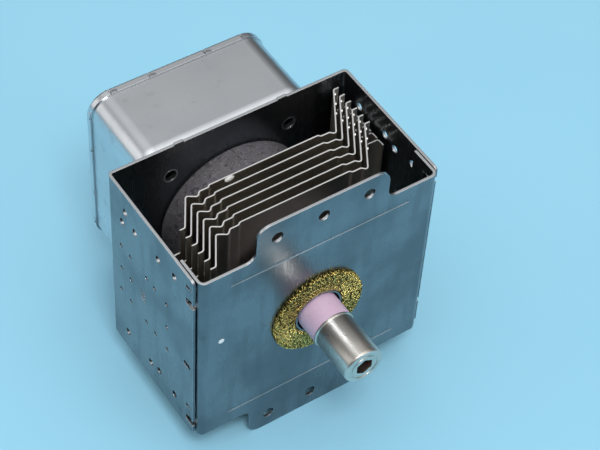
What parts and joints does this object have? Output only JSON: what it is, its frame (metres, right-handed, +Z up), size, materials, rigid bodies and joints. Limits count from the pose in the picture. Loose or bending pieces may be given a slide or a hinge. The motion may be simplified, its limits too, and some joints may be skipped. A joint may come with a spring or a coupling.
{
  "type": "magnetron",
  "caption": "Oven magnetron: open steel yoke with folded cooling fins, ring magnets, ceramic antenna with metal cap, and a drawn filter box with blade terminals.",
  "frame": {"origin": "where the antenna axis meets the outer face of the front plate", "axes": "+Y back from the mounting face to the filter box, antenna towards -Y, +Z up, X across the mounting face"},
  "size_m": [0.095, 0.1222, 0.111],
  "materials": {
    "zinc_steel": "zinc-plated sheet, satin",
    "box_steel": "drawn tin-plated sheet, satin",
    "ferrite": "ground ferrite, matt and mottled",
    "fin_aluminium": "bright sheet with sheared edges",
    "copper": "copper, satin",
    "iron": "soft iron, satin",
    "seal_metal": "drawn seal sheet, satin",
    "pink_alumina": "pink alumina, matt",
    "white_alumina": "white alumina, matt",
    "nickel": "nickel plate, polished",
    "brass_mesh": "knitted brass wire",
    "tungsten": "drawn tungsten and molybdenum",
    "choke_ferrite": "ferrite rod, matt",
    "resin": "moulded resin, matt",
    "tinned_brass": "tinned, satin"
  },
  "bodies": {
    "root": {"yoke_frame": "zinc_steel", "front_plate": "zinc_steel", "filter_box": "box_steel", "filter_lid": "box_steel", "capacitor_flange": "box_steel", "capacitor_rivets": "box_steel", "front_magnet": "ferrite", "rear_magnet": "ferrite", "cooling_fin_1": "fin_aluminium", "cooling_fin_2": "fin_aluminium", "cooling_fin_3": "fin_aluminium", "cooling_fin_4": "fin_aluminium", "cooling_fin_5": "fin_aluminium", "cooling_fin_6": "fin_aluminium", "anode_cylinder": "copper", "anode_vanes": "copper", "strap_rings": "copper", "antenna_lead": "copper", "exhaust_tube": "copper", "choke_coil_1": "copper", "choke_coil_2": "copper", "front_pole_piece": "iron", "rear_pole_piece": "iron", "front_seal_cup": "seal_metal", "rear_seal_cup": "seal_metal", "stem_terminals": "seal_metal", "antenna_ceramic": "pink_alumina", "stem_ceramic": "white_alumina", "antenna_cap": "nickel", "rf_gasket": "brass_mesh", "cathode_filament": "tungsten", "front_end_hat": "tungsten", "rear_end_hat": "tungsten", "centre_lead": "tungsten", "side_lead": "tungsten", "choke_core_1": "choke_ferrite", "choke_core_2": "choke_ferrite", "capacitor_body": "resin", "capacitor_blades": "tinned_brass"}
  },
  "joints": []
}
